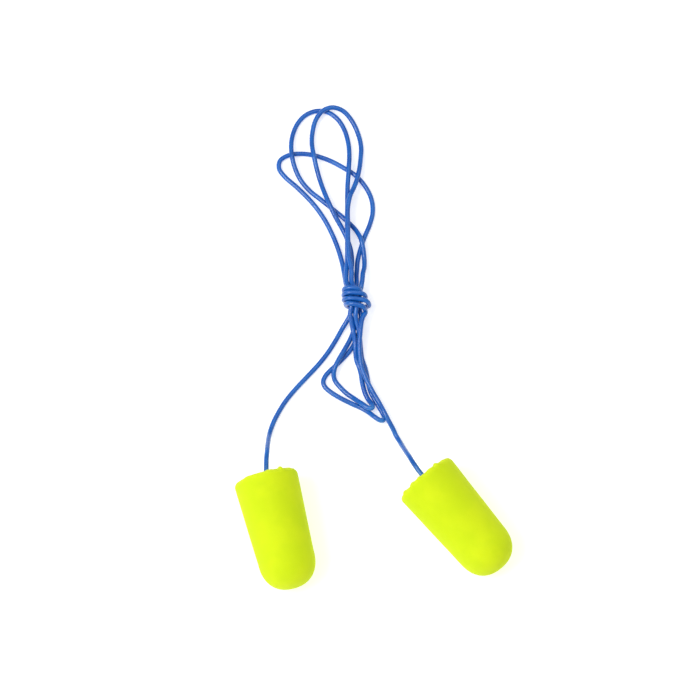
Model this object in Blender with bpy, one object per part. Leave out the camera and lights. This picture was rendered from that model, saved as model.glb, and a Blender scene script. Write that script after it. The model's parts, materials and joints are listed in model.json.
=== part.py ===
"""A pair of bullet-shaped foam ear plugs on one vinyl cord, folded into a tied hank.

The plugs lie on their sides on the plane Z = 0 and the cord lies beside them. Lengths
are in metres. +X runs from the left plug to the right one, +Y from the plugs towards
the hank, +Z up. The origin is on the plane, under the middle of the two plugs.
"""

import math

import bmesh
import bpy
from mathutils import Matrix, Vector

MM = 0.001

# Foam plug, turned about its own axis from the wide back to the domed front.
PLUG_LENGTH = 23.6 * MM
PLUG_BACK_RADIUS = 6.45 * MM
PLUG_FRONT_RADIUS = 5.7 * MM
DOME_LENGTH = 6.2 * MM
DOME_FULLNESS = 2.3
RIM_ROUNDING = 1.2 * MM
BORE_DEPTH = 9.0 * MM
TURNING_STEPS = 48
DOME_STEPS = 10
RIM_STEPS = 4

# Cord, and the adhesive that holds its ends in the plugs' bores.
CORD_RADIUS = 0.5 * MM
ADHESIVE_WALL = 0.5 * MM
RADIAL_GAP = 0.2 * MM
END_GAP = 0.3 * MM
SWING_GAP = 0.5 * MM
CORD_CORNERS = 2

# Places of the plugs: where the cord leaves each back face, and which way the front points.
LEFT_EXIT = (-21.35 * MM, 9.80 * MM)
LEFT_HEADING = math.radians(-75.5)
RIGHT_EXIT = (10.35 * MM, 9.55 * MM)
RIGHT_HEADING = math.radians(-50.0)
STRAIGHT_OUT = 1.4 * MM

# Knot: the drum that the turns round the hank's waist fill.
KNOT_CENTRE = Vector((-3.6, 47.8, 2.15)) * MM
KNOT_HALF_WIDTH = 2.75 * MM
KNOT_HALF_HEIGHT = 2.13 * MM
KNOT_LENGTH = 4.6 * MM
KNOT_SHOULDER = 0.7 * MM
KNOT_STEPS = 32

# The strands of the hank pass the knot in two rows of three.
STRAND_PITCH = 1.05 * MM
ROW_PITCH = 1.2 * MM
TOP_MIDDLE_X = -4.15 * MM
BOTTOM_MIDDLE_X = -3.3 * MM
KNOT_STRAIGHT = 0.8 * MM

# Turned pieces: points nearer than this are one, and edges sharper than this stay sharp.
WELD_DISTANCE = 0.001 * MM
SHARP_ANGLE = math.radians(35)

# Smoothing of the cord's route.
FINE_STEPS = 12
LONGEST_RUN = 4.5 * MM
SHARPEST_TURN = math.radians(22.0)

# Routes in millimetres, between the plug or the knot at one end and the knot at the other.
LEFT_LEAD_ROUTE = (
    (-21.1, 13.2, 6.3), (-21.0, 14.9, 5.5), (-20.95, 16.4, 4.2), (-20.85, 17.9, 2.7),
    (-20.7, 19.3, 1.4), (-20.4, 20.7, 0.7), (-19.75, 22.5, 0.5), (-18.8, 24.4, 0.5),
    (-17.4, 26.7, 0.5), (-15.4, 29.2, 0.5), (-13.1, 31.75, 0.5), (-10.85, 34.25, 0.5),
    (-8.9, 36.8, 0.5), (-7.3, 39.4, 0.5), (-5.9, 41.9, 0.65), (-4.9, 43.4, 1.2),
)
RIGHT_LEAD_ROUTE = (
    (8.2, 12.55, 6.25), (7.5, 13.95, 5.4), (6.9, 15.2, 4.1), (6.4, 16.35, 2.7),
    (5.9, 17.5, 1.5), (5.35, 18.6, 0.85), (4.85, 19.5, 0.75), (4.35, 20.6, 1.05),
    (3.5, 22.1, 1.6), (2.7, 23.6, 1.95), (1.6, 25.8, 1.75), (0.2, 28.3, 1.65),
    (-1.0, 30.7, 1.6), (-2.0, 33.3, 1.65), (-2.4, 35.9, 1.85), (-2.45, 38.5, 2.45),
    (-2.25, 41.0, 2.88), (-2.02, 42.8, 2.98),
)
WIDE_LOOP_ROUTE = (
    (-5.5, 53.0, 1.0), (-5.95, 55.6, 0.5), (-6.9, 59.0, 0.5), (-8.2, 62.3, 0.5),
    (-9.9, 65.6, 0.5), (-12.1, 68.7, 0.5), (-15.2, 72.0, 0.5), (-18.0, 74.6, 0.5),
    (-19.1, 76.3, 0.5), (-18.9, 78.0, 0.5), (-17.3, 79.1, 0.5), (-14.8, 79.5, 0.5),
    (-12.1, 79.2, 0.5), (-8.8, 78.1, 0.5), (-5.7, 76.4, 0.5), (-3.3, 74.8, 0.5),
    (-1.2, 72.3, 0.5), (0.0, 69.7, 0.5), (0.3, 66.9, 0.5), (-0.3, 64.2, 0.5),
    (-1.4, 61.4, 0.5), (-2.25, 58.8, 0.5), (-2.85, 56.2, 0.5), (-2.98, 54.6, 0.6),
    (-3.1, 53.0, 0.95),
)
LEFT_LOOP_ROUTE = (
    (-5.2, 53.2, 2.35), (-4.95, 56.4, 1.6), (-4.95, 60.0, 1.6), (-4.95, 64.0, 1.6),
    (-4.95, 68.0, 1.6), (-4.9, 72.0, 1.6), (-4.65, 76.0, 1.65), (-4.55, 79.2, 1.2),
    (-4.8, 82.0, 0.6), (-5.6, 84.8, 0.5), (-7.0, 87.1, 0.5), (-9.0, 88.6, 0.5),
    (-11.3, 88.9, 0.5), (-13.6, 88.0, 0.5), (-15.3, 86.1, 0.5), (-16.3, 83.5, 0.8),
    (-16.6, 81.0, 1.3), (-16.4, 78.6, 1.6), (-15.8, 76.2, 1.2), (-14.6, 73.7, 0.7),
    (-12.7, 71.4, 0.5), (-10.3, 69.4, 0.5), (-8.0, 67.5, 0.5), (-5.6, 65.4, 0.5),
    (-3.7, 63.5, 0.6), (-2.85, 62.2, 1.1), (-2.2, 60.8, 1.6), (-1.75, 59.0, 1.5),
    (-1.45, 56.4, 1.1), (-1.47, 54.6, 1.45), (-1.75, 53.2, 2.1),
)
RIGHT_LOOP_ROUTE = (
    (-4.1, 53.2, 2.75), (-4.3, 54.8, 2.75), (-4.6, 56.4, 2.65), (-4.8, 60.0, 2.65),
    (-4.85, 64.0, 2.65), (-4.85, 67.0, 2.65), (-4.4, 69.6, 2.58), (-3.62, 71.6, 2.0),
    (-3.0, 73.4, 1.65), (-2.5, 75.6, 1.6), (-2.2, 78.2, 1.1), (-2.1, 81.0, 0.6),
    (-2.7, 83.8, 0.5), (-4.0, 86.6, 0.8), (-5.8, 88.6, 1.3), (-8.0, 89.3, 1.6),
    (-10.0, 88.6, 1.6), (-11.5, 86.7, 1.2), (-12.2, 84.0, 0.9), (-12.3, 81.4, 1.35),
    (-11.9, 78.8, 1.8), (-11.3, 76.0, 1.45), (-10.5, 73.2, 1.1), (-9.6, 70.6, 1.4),
    (-8.5, 67.9, 1.65), (-7.3, 65.4, 1.3), (-5.95, 63.1, 0.6), (-4.9, 60.8, 0.5),
    (-4.2, 58.4, 0.5), (-4.02, 56.0, 0.5), (-4.12, 54.6, 0.8), (-4.15, 53.2, 1.2),
)
OUTER_LOOP_ROUTE = (
    (-2.35, 43.0, 0.95), (-2.55, 41.2, 0.5), (-3.05, 39.8, 0.5), (-3.75, 38.2, 0.5),
    (-4.65, 36.9, 0.5), (-5.65, 35.75, 0.5), (-7.0, 34.35, 0.5), (-8.5, 32.95, 0.5),
    (-9.45, 31.8, 0.5), (-9.85, 30.6, 0.5), (-9.45, 29.55, 0.5), (-8.5, 28.65, 0.5),
    (-7.2, 27.75, 0.5), (-5.7, 26.9, 0.5), (-3.9, 26.0, 0.5), (-2.1, 25.15, 0.6),
    (-0.55, 24.1, 1.0), (0.7, 23.0, 1.5), (1.65, 22.4, 1.55), (2.35, 22.5, 1.1),
    (2.5, 23.3, 0.6), (2.1, 24.3, 0.5), (1.5, 25.35, 0.5), (0.62, 26.9, 0.5),
    (-0.2, 28.6, 0.5), (-0.65, 30.3, 0.5), (-0.93, 31.9, 0.5), (-1.32, 33.6, 0.5),
    (-1.95, 35.5, 0.55), (-2.2, 37.3, 0.85), (-2.35, 39.0, 1.25), (-2.62, 41.2, 1.75),
    (-3.1, 42.8, 2.2),
)
INNER_LOOP_ROUTE = (
    (-3.4, 43.0, 0.98), (-3.75, 41.2, 0.65), (-4.28, 39.7, 0.8), (-4.95, 38.3, 1.05),
    (-5.65, 36.95, 1.4), (-6.3, 35.75, 1.7), (-6.95, 34.5, 1.75), (-7.45, 33.4, 1.55),
    (-7.7, 32.3, 1.15), (-7.6, 31.3, 0.7), (-7.2, 30.5, 0.5), (-6.5, 29.65, 0.5),
    (-5.7, 28.8, 0.5), (-4.8, 28.0, 0.5), (-3.75, 27.25, 0.7), (-2.8, 26.45, 1.15),
    (-1.75, 25.65, 1.6), (-0.85, 24.95, 1.8), (-0.1, 24.8, 1.75), (0.2, 25.35, 1.3),
    (-0.2, 26.2, 0.75), (-0.8, 27.1, 0.5), (-1.35, 28.3, 0.5), (-1.7, 29.5, 0.5),
    (-2.0, 31.0, 0.5), (-2.15, 32.2, 0.5), (-2.5, 33.6, 0.5), (-3.08, 35.2, 0.65),
    (-3.25, 36.8, 1.25), (-3.35, 38.4, 1.7), (-3.75, 41.2, 1.75), (-4.08, 42.9, 2.3),
)

FOAM_COLOUR = (0.72, 0.88, 0.01, 1.0)
ADHESIVE_COLOUR = (0.80, 0.78, 0.62, 1.0)
CORD_COLOUR = (0.03, 0.16, 0.62, 1.0)
FOAM_ROUGHNESS = 0.85
ADHESIVE_ROUGHNESS = 0.35
CORD_ROUGHNESS = 0.25


def clear_scene():
    """Remove whatever the scene starts with."""
    for item in list(bpy.data.objects):
        bpy.data.objects.remove(item, do_unlink=True)


def finish_material(name, colour, roughness):
    """Return a plain dielectric finish."""
    material = bpy.data.materials.new(name)
    material.use_nodes = True
    shader = material.node_tree.nodes["Principled BSDF"]
    shader.inputs["Base Color"].default_value = colour
    shader.inputs["Roughness"].default_value = roughness
    shader.inputs["Metallic"].default_value = 0.0
    return material


def turned_mesh(name, profile, steps):
    """Turn a closed (along, radius) outline about the X axis into a closed mesh."""
    mesh = bpy.data.meshes.new(name)
    shape = bmesh.new()
    ring = [shape.verts.new((along, 0.0, radius)) for along, radius in profile]
    edges = [shape.edges.new((a, b)) for a, b in zip(ring, ring[1:])]
    if profile[0][1] > 0.0:
        edges.append(shape.edges.new((ring[-1], ring[0])))
    bmesh.ops.spin(
        shape, geom=ring + edges, cent=(0, 0, 0), axis=(1, 0, 0),
        angle=2 * math.pi, steps=steps, use_merge=True,
    )
    bmesh.ops.remove_doubles(shape, verts=shape.verts, dist=WELD_DISTANCE)
    bmesh.ops.recalc_face_normals(shape, faces=shape.faces)
    shape.to_mesh(mesh)
    shape.free()
    mesh.shade_smooth()
    mesh.set_sharp_from_angle(angle=SHARP_ANGLE)
    return mesh


def add_object(name, mesh, material, place):
    """Link one named object whose local frame is place."""
    item = bpy.data.objects.new(name, mesh)
    item.matrix_world = place
    mesh.materials.append(material)
    bpy.context.scene.collection.objects.link(item)
    return item


def bore_radius():
    """The bore takes the cord, a gap, the adhesive and another gap."""
    return CORD_RADIUS + RADIAL_GAP + ADHESIVE_WALL + RADIAL_GAP


def cone_angle():
    """Half angle of the plug's taper, between the rim and the dome."""
    run = PLUG_LENGTH - DOME_LENGTH - RIM_ROUNDING
    return math.atan2(PLUG_BACK_RADIUS - PLUG_FRONT_RADIUS, run)


def plug_skin():
    """Outline of the plug's outside, from the flat back face to the front."""
    slope = cone_angle()
    points = []
    rim_centre = PLUG_BACK_RADIUS - RIM_ROUNDING
    for step in range(RIM_STEPS + 1):
        turn = (math.pi / 2 - slope) * step / RIM_STEPS
        along = RIM_ROUNDING * (1 - math.cos(turn))
        points.append((along, rim_centre + RIM_ROUNDING * math.sin(turn)))
    dome_start = PLUG_LENGTH - DOME_LENGTH
    for step in range(DOME_STEPS + 1):
        turn = math.pi / 2 * step / DOME_STEPS
        along = dome_start + DOME_LENGTH * math.sin(turn) ** (2 / DOME_FULLNESS)
        points.append((along, PLUG_FRONT_RADIUS * math.cos(turn) ** (2 / DOME_FULLNESS)))
    points[-1] = (PLUG_LENGTH, 0.0)
    return points


def plug_outline():
    """Closed outline of the plug with its blind bore."""
    bore = [(BORE_DEPTH, 0.0), (BORE_DEPTH, bore_radius()), (0.0, bore_radius())]
    return bore + plug_skin()


def exit_height():
    """Height of the back's centre when the taper lies flat on the plane."""
    slope = cone_angle()
    return max(a * math.sin(slope) + r * math.cos(slope) for a, r in plug_skin())


def plug_place(exit_xy, heading):
    """Frame at the cord's exit, with X along the plug's axis towards its front."""
    where = Matrix.Translation((exit_xy[0], exit_xy[1], exit_height()))
    return where @ Matrix.Rotation(heading, 4, "Z") @ Matrix.Rotation(cone_angle(), 4, "Y")


def build_plug(side, place, foam, adhesive, cord):
    """Foam body, adhesive sleeve and the glued end of the cord, on one frame."""
    body = turned_mesh(f"{side}_plug", plug_outline(), TURNING_STEPS)
    add_object(f"{side}_plug", body, foam, place)
    inner = CORD_RADIUS + RADIAL_GAP
    outer = inner + ADHESIVE_WALL
    far = BORE_DEPTH - END_GAP
    sleeve = [(END_GAP, inner), (END_GAP, outer), (far, outer), (far, inner)]
    mesh = turned_mesh(f"{side}_adhesive", sleeve, TURNING_STEPS // 2)
    add_object(f"{side}_adhesive", mesh, adhesive, place)
    ends = [place @ Vector((along, 0, 0)) for along in (0.0, far)]
    build_tube(f"{side}_cord_end", ends, cord, place)


def smooth_curve(points):
    """Centripetal Catmull-Rom curve through the points, finely divided."""
    first = points[0] * 2 - points[1]
    last = points[-1] * 2 - points[-2]
    chain = [first, *points, last]
    fine = []
    for p0, p1, p2, p3 in zip(chain, chain[1:], chain[2:], chain[3:]):
        t1 = math.sqrt((p1 - p0).length)
        t2 = t1 + math.sqrt((p2 - p1).length)
        t3 = t2 + math.sqrt((p3 - p2).length)
        for step in range(FINE_STEPS):
            t = t1 + (t2 - t1) * step / FINE_STEPS
            a1 = p0.lerp(p1, t / t1)
            a2 = p1.lerp(p2, (t - t1) / (t2 - t1))
            a3 = p2.lerp(p3, (t - t2) / (t3 - t2))
            b1 = a1.lerp(a2, t / t2)
            b2 = a2.lerp(a3, (t - t1) / (t3 - t1))
            fine.append(b1.lerp(b2, (t - t1) / (t2 - t1)))
    fine.append(points[-1].copy())
    for point in fine:
        point.z = max(point.z, CORD_RADIUS)
    return fine


def thinned(fine):
    """Keep a point wherever the curve has run or turned far enough."""
    kept = [fine[0]]
    heading = fine[1] - fine[0]
    run = 0.0
    for before, here, after in zip(fine, fine[1:], fine[2:]):
        run += (here - before).length
        ahead = after - here
        if run > LONGEST_RUN or heading.angle(ahead) > SHARPEST_TURN:
            kept.append(here)
            heading = ahead
            run = 0.0
    if (kept[-1] - fine[-1]).length < CORD_RADIUS and len(kept) > 1:
        kept.pop()
    kept.append(fine[-1])
    return kept


def build_tube(name, points, material, place=Matrix.Identity(4)):
    """Round cord with flat filled ends along the points, which are in the world."""
    curve = bpy.data.curves.new(name, "CURVE")
    curve.dimensions = "3D"
    curve.bevel_depth = CORD_RADIUS
    curve.bevel_resolution = CORD_CORNERS
    curve.use_fill_caps = True
    spline = curve.splines.new("POLY")
    spline.points.add(len(points) - 1)
    into = place.inverted()
    for target, point in zip(spline.points, points):
        target.co = (*(into @ point), 1.0)
    spline.use_smooth = True
    return add_object(name, curve, material, place)


def in_metres(route):
    """Route points as vectors in metres."""
    return [Vector(point) * MM for point in route]


def knot_face(side, column, row, gap=END_GAP):
    """Where a strand meets the knot: side 1 is its +Y face, -1 its -Y face."""
    middle = TOP_MIDDLE_X if side > 0 else BOTTOM_MIDDLE_X
    y = KNOT_CENTRE.y + side * (KNOT_LENGTH / 2 + gap)
    z = KNOT_CENTRE.z + (row - 0.5) * ROW_PITCH
    return Vector((middle + column * STRAND_PITCH, y, z))


def straight_from(knot_end, side):
    """A point a little way straight out of the knot's face."""
    return knot_end + Vector((0, side * KNOT_STRAIGHT, 0))


def build_lead(name, place, route, knot_end, material):
    """The run between a plug and the knot, straight at both ends."""
    start = place @ Vector((-SWING_GAP, 0, 0))
    out = place @ Vector((-STRAIGHT_OUT, 0, 0))
    points = [start, out, *in_metres(route), straight_from(knot_end, -1), knot_end]
    frame = Matrix.Translation(knot_end)
    return build_tube(name, thinned(smooth_curve(points)), material, frame)


def build_loop(name, side, first, route, last, material):
    """A bight of the cord that leaves the knot's face and comes back to it.

    first and last are the column and row of the strand's two ends in the knot.
    """
    start = knot_face(side, *first)
    end = knot_face(side, *last)
    near = [start, straight_from(start, side)]
    points = [*near, *in_metres(route), straight_from(end, side), end]
    return build_tube(name, thinned(smooth_curve(points)), material)


def build_knot(material):
    """Closed drum with rounded shoulders, as wide and high as the turns it stands for."""
    half = KNOT_LENGTH / 2
    narrow = 1.0 - KNOT_SHOULDER / KNOT_HALF_HEIGHT
    stations = ((-half, narrow), (-half + KNOT_SHOULDER, 1.0), (half - KNOT_SHOULDER, 1.0), (half, narrow))
    shape = bmesh.new()
    rings = []
    for along, share in stations:
        ring = []
        for step in range(KNOT_STEPS):
            turn = 2 * math.pi * step / KNOT_STEPS
            x = KNOT_HALF_WIDTH * share * math.cos(turn)
            z = KNOT_HALF_HEIGHT * share * math.sin(turn)
            ring.append(shape.verts.new((x, along, z)))
        rings.append(ring)
    for low, high in zip(rings, rings[1:]):
        for step in range(KNOT_STEPS):
            after = (step + 1) % KNOT_STEPS
            shape.faces.new((low[step], high[step], high[after], low[after]))
    shape.faces.new(rings[0])
    shape.faces.new(rings[-1])
    bmesh.ops.recalc_face_normals(shape, faces=shape.faces)
    mesh = bpy.data.meshes.new("hank_knot")
    shape.to_mesh(mesh)
    shape.free()
    mesh.shade_smooth()
    mesh.set_sharp_from_angle(angle=SHARP_ANGLE)
    add_object("hank_knot", mesh, material, Matrix.Translation(KNOT_CENTRE))


def build_hank(cord):
    """The three upper bights, the two lower ones and the knot round their waist."""
    build_knot(cord)
    build_loop("upper_loop_wide", 1, (-1, 0), WIDE_LOOP_ROUTE, (1, 0), cord)
    build_loop("upper_loop_left", 1, (-1, 1), LEFT_LOOP_ROUTE, (1, 1), cord)
    build_loop("upper_loop_right", 1, (0, 1), RIGHT_LOOP_ROUTE, (0, 0), cord)
    build_loop("lower_loop_outer", -1, (1, 0), OUTER_LOOP_ROUTE, (0, 1), cord)
    build_loop("lower_loop_inner", -1, (0, 0), INNER_LOOP_ROUTE, (-1, 1), cord)


def main():
    """Build every piece."""
    clear_scene()
    foam = finish_material("foam", FOAM_COLOUR, FOAM_ROUGHNESS)
    adhesive = finish_material("adhesive", ADHESIVE_COLOUR, ADHESIVE_ROUGHNESS)
    cord = finish_material("cord", CORD_COLOUR, CORD_ROUGHNESS)
    left = plug_place(LEFT_EXIT, LEFT_HEADING)
    right = plug_place(RIGHT_EXIT, RIGHT_HEADING)
    build_plug("left", left, foam, adhesive, cord)
    build_plug("right", right, foam, adhesive, cord)
    left_knot = knot_face(-1, -1, 0, SWING_GAP)
    build_lead("left_lead", left, LEFT_LEAD_ROUTE, left_knot, cord)
    right_knot = knot_face(-1, 1, 1, SWING_GAP)
    build_lead("right_lead", right, RIGHT_LEAD_ROUTE, right_knot, cord)
    build_hank(cord)


main()
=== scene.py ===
"""A pair of bullet-shaped foam ear plugs on one blue vinyl cord, folded into a tied hank.

The plugs lie on their sides on the plane Z = 0 and the cord lies beside them. Lengths are
in metres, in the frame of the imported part: +X runs from the left plug to the right one,
+Y from the plugs towards the hank, +Z up.
"""

import json
import logging
import math
from dataclasses import dataclass
from enum import Enum

import bpy
import numpy as np
from mathutils import Matrix, Vector

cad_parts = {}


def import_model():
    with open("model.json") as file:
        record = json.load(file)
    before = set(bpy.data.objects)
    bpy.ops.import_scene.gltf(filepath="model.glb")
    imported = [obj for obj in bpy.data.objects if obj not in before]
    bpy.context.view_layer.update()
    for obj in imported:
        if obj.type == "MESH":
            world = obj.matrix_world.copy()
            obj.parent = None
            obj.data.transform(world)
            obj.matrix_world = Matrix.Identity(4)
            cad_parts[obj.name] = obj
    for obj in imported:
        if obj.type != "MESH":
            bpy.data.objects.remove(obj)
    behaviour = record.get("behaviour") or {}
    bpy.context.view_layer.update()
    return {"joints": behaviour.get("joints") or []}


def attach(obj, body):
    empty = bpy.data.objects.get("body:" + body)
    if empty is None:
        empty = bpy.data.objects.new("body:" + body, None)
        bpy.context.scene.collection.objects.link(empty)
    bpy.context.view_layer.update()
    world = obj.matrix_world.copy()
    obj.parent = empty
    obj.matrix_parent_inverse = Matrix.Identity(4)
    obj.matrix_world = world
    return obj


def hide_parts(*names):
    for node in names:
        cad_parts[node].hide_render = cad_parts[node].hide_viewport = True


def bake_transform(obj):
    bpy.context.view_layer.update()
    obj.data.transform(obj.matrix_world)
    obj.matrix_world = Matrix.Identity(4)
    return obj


MM = 0.001
NODE_STEP = 190.0
LOG = logging.getLogger("ear_plugs")

Point = tuple[float, float, float]
Colour = tuple[float, float, float, float]
Span = tuple[float, float, float, float]
Socket = bpy.types.NodeSocket
Node = bpy.types.Node
Tree = bpy.types.NodeTree
Mesh = bpy.types.Mesh
Object = bpy.types.Object
Material = bpy.types.Material

WHITE: Colour = (1.0, 1.0, 1.0, 1.0)
# Soft noise lies mostly between 0.3 and 0.7, and this spreads it over 0 to 1.
SPREAD: Span = (0.3, 0.7, 0.0, 1.0)


class Side(Enum):
    """The two plugs, by the side of the hank they lie on."""

    LEFT = "left"
    RIGHT = "right"


class Face(Enum):
    """The two faces of the knot that the strands pass through."""

    UPPER = 1
    LOWER = -1


class Slot(Enum):
    """The five places of the strands inside the knot, across and up from its middle in millimetres."""

    LOW_LEFT = (-0.52, -0.87)
    LOW_RIGHT = (0.52, -0.87)
    CORE = (0.0, 0.0)
    TOP_LEFT = (-0.52, 0.87)
    TOP_RIGHT = (0.52, 0.87)


# ---------------------------------------------------------------- node benches


class Bench:
    """Adds and joins the nodes of one tree."""

    def __init__(self, tree: Tree) -> None:
        """Take an empty tree."""
        self.tree = tree
        self.column = 0

    def add(self, kind: str, **settings: object) -> Node:
        """Add one node.

        Args:
            kind: the node's type name.
            settings: properties to set on it.

        Returns:
            The new node.
        """
        node = self.tree.nodes.new(kind)
        node.location = (self.column * NODE_STEP, 0.0)
        self.column += 1
        for name, value in settings.items():
            setattr(node, name, value)
        return node

    def feed(self, target: Socket, source: object) -> None:
        """Link a socket into the target, or set the target's own value.

        Args:
            target: the input to fill.
            source: an output socket, or a plain value.
        """
        if isinstance(source, Socket):
            self.tree.links.new(source, target)
        else:
            target.default_value = source

    def fill(self, node: Node, values: dict[object, object]) -> Node:
        """Feed a node's inputs.

        Args:
            node: the node.
            values: what goes in each input, by its name or its place.

        Returns:
            The same node.
        """
        for key, value in values.items():
            self.feed(node.inputs[key], value)
        return node

    def maths(self, operation: str, *values: object) -> Socket:
        """Join one Math node.

        Args:
            operation: its operation.
            values: its inputs, in order.

        Returns:
            Its result.
        """
        node = self.add("ShaderNodeMath", operation=operation)
        return self.fill(node, dict(enumerate(values))).outputs[0]

    def noise(self, where: Socket, scale: float, detail: float = 2.0, rough: float = 0.5) -> Socket:
        """Add soft noise.

        Args:
            where: the vector it is read at.
            scale: cells per metre.
            detail: octaves.
            rough: how strong the finer octaves are.

        Returns:
            Its value from 0 to 1.
        """
        node = self.add("ShaderNodeTexNoise", noise_dimensions="3D")
        values = {"Vector": where, "Scale": scale, "Detail": detail, "Roughness": rough}
        return self.fill(node, values).outputs[0]

    def ramp(self, value: Socket, low: float, high: float, start: float, end: float) -> Socket:
        """Map a value from one span to another, smoothly and clamped.

        Args:
            value: the value to map.
            low: start of the span it has.
            high: end of the span it has.
            start: result at low.
            end: result at high.

        Returns:
            The mapped value.
        """
        node = self.add("ShaderNodeMapRange", interpolation_type="SMOOTHSTEP")
        names = ("Value", "From Min", "From Max", "To Min", "To Max")
        return self.fill(node, dict(zip(names, (value, low, high, start, end)))).outputs["Result"]

    def blend(self, share: Socket, first: object, second: object) -> Socket:
        """Mix two colours.

        Args:
            share: how much of the second, from 0 to 1.
            first: the first colour.
            second: the second colour.

        Returns:
            The mixed colour.
        """
        node = self.add("ShaderNodeMix", data_type="RGBA")
        return self.fill(node, {0: share, 6: first, 7: second}).outputs[2]

    def bump(self, height: Socket, distance: float, strength: float, under: Socket | None = None) -> Socket:
        """Add relief.

        Args:
            height: the relief's height from 0 to 1.
            distance: how high 1 stands, in metres.
            strength: how much of it shows.
            under: relief it lies on, or None.

        Returns:
            The bent normal.
        """
        node = self.add("ShaderNodeBump")
        self.fill(node, {"Strength": strength, "Distance": distance, "Height": height})
        if under is not None:
            self.feed(node.inputs["Normal"], under)
        return node.outputs["Normal"]

    def parts(self, vector: Socket) -> list[Socket]:
        """Return a vector's X, Y and Z."""
        return list(self.fill(self.add("ShaderNodeSeparateXYZ"), {0: vector}).outputs)

    def whole(self, x: object, y: object, z: object) -> Socket:
        """Return the vector with this X, Y and Z."""
        return self.fill(self.add("ShaderNodeCombineXYZ"), {0: x, 1: y, 2: z}).outputs[0]


class ShaderBench(Bench):
    """A material's tree, with its one Principled shader."""

    def __init__(self, name: str) -> None:
        """Start a material.

        Args:
            name: the material's name.
        """
        self.material = bpy.data.materials.new(name)
        self.material.use_nodes = True
        super().__init__(self.material.node_tree)
        self.tree.nodes.clear()
        self.shader = self.add("ShaderNodeBsdfPrincipled")
        output = self.add("ShaderNodeOutputMaterial")
        self.tree.links.new(self.shader.outputs["BSDF"], output.inputs["Surface"])

    def dress(self, **values: object) -> Material:
        """Fill the shader's sockets.

        Args:
            values: socket names, with _ for a space, and what goes in.

        Returns:
            The finished material.
        """
        self.fill(self.shader, {name.replace("_", " "): value for name, value in values.items()})
        return self.material

    def place(self) -> Socket:
        """Return the object's own coordinates."""
        return self.add("ShaderNodeTexCoord").outputs["Object"]

    def attribute(self, name: str, output: str) -> Socket:
        """Return a named attribute of the piece, as Fac or as Vector."""
        return self.add("ShaderNodeAttribute", attribute_name=name).outputs[output]


# ------------------------------------------------------------------- finishes


@dataclass(frozen=True)
class FoamFinish:
    """Slow-recovery polyurethane foam in fluorescent yellow, with a fine moulded skin, a painted glow that
    stands in for its fluorescence and painted shade in its pores.
    """

    # bright and deep are tones that differ at random over the foam; deep is also the colour the painted
    # shade in the pores darkens towards.
    bright: Colour = (0.700, 0.845, 0.010, 1.0)
    deep: Colour = (0.640, 0.808, 0.008, 1.0)
    cut: Colour = (0.800, 0.930, 0.030, 1.0)
    cut_share: float = 0.6
    # Painted glow: an emission in the foam's own hue that stands in for its fluorescence, though the foam
    # is no lamp.
    painted_fluorescent_glow: Colour = (0.720, 0.980, 0.000, 1.0)
    glow_strength: float = 0.06
    patches_per_metre: float = 160.0
    cells_per_metre: float = 4200.0
    cell_roughness: float = 0.6
    pores_per_metre: float = 2300.0
    patch_tones: Span = (0.35, 0.65, 0.0, 1.0)
    pore_wall: Span = (0.05, 0.32, 0.0, 1.0)
    pores_open: Span = (0.42, 0.62, 0.35, 1.0)
    # Painted shade: how far the hollows of open pores are darkened towards deep.
    pore_shade: float = 0.35
    relief_height: float = 0.05 * MM
    skin_strength: float = 0.35
    pore_strength: float = 0.30
    roughness: Span = (0.3, 0.7, 0.78, 0.95)
    scatter: Point = (1.0, 0.9, 0.12)
    scatter_depth: float = 1.2 * MM
    bloom: Colour = (0.85, 1.0, 0.25, 1.0)

    def material(self) -> Material:
        """Build the foam's material.

        Returns:
            The material.
        """
        bench = ShaderBench("yellow_foam")
        where = bench.place()
        cut = bench.attribute("cut", "Fac")
        patches = bench.noise(where, self.patches_per_metre, detail=3.0)
        cells = bench.noise(where, self.cells_per_metre, rough=self.cell_roughness)
        pores = bench.add("ShaderNodeTexVoronoi", feature="F1")
        bench.fill(pores, {"Vector": where, "Scale": self.pores_per_metre})
        pit = bench.ramp(pores.outputs["Distance"], *self.pore_wall)
        opened = bench.maths("MAXIMUM", bench.ramp(patches, *self.pores_open), cut)
        colour = bench.blend(bench.ramp(patches, *self.patch_tones), self.deep, self.bright)
        colour = bench.blend(bench.maths("MULTIPLY", cut, self.cut_share), colour, self.cut)
        # Painted shade: the hollows of the open pores are darkened towards deep, where shade would fall in
        # them.
        shade = bench.maths("MULTIPLY", opened, self.pore_shade)
        pore_painted_shade = bench.maths("MULTIPLY", bench.maths("SUBTRACT", 1.0, pit), shade)
        skin = bench.bump(cells, self.relief_height, self.skin_strength)
        return bench.dress(
            Base_Color=bench.blend(pore_painted_shade, colour, self.deep),
            Roughness=bench.ramp(cells, *self.roughness),
            IOR=1.42,
            Specular_IOR_Level=0.25,
            Subsurface_Weight=0.30,
            Subsurface_Radius=self.scatter,
            Subsurface_Scale=self.scatter_depth,
            Sheen_Weight=0.12,
            Sheen_Roughness=0.55,
            Sheen_Tint=self.bloom,
            # Painted glow standing in for the foam's fluorescence.
            Emission_Color=self.painted_fluorescent_glow,
            Emission_Strength=self.glow_strength,
            Normal=bench.bump(pit, self.relief_height, self.pore_strength, skin),
        )


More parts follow.
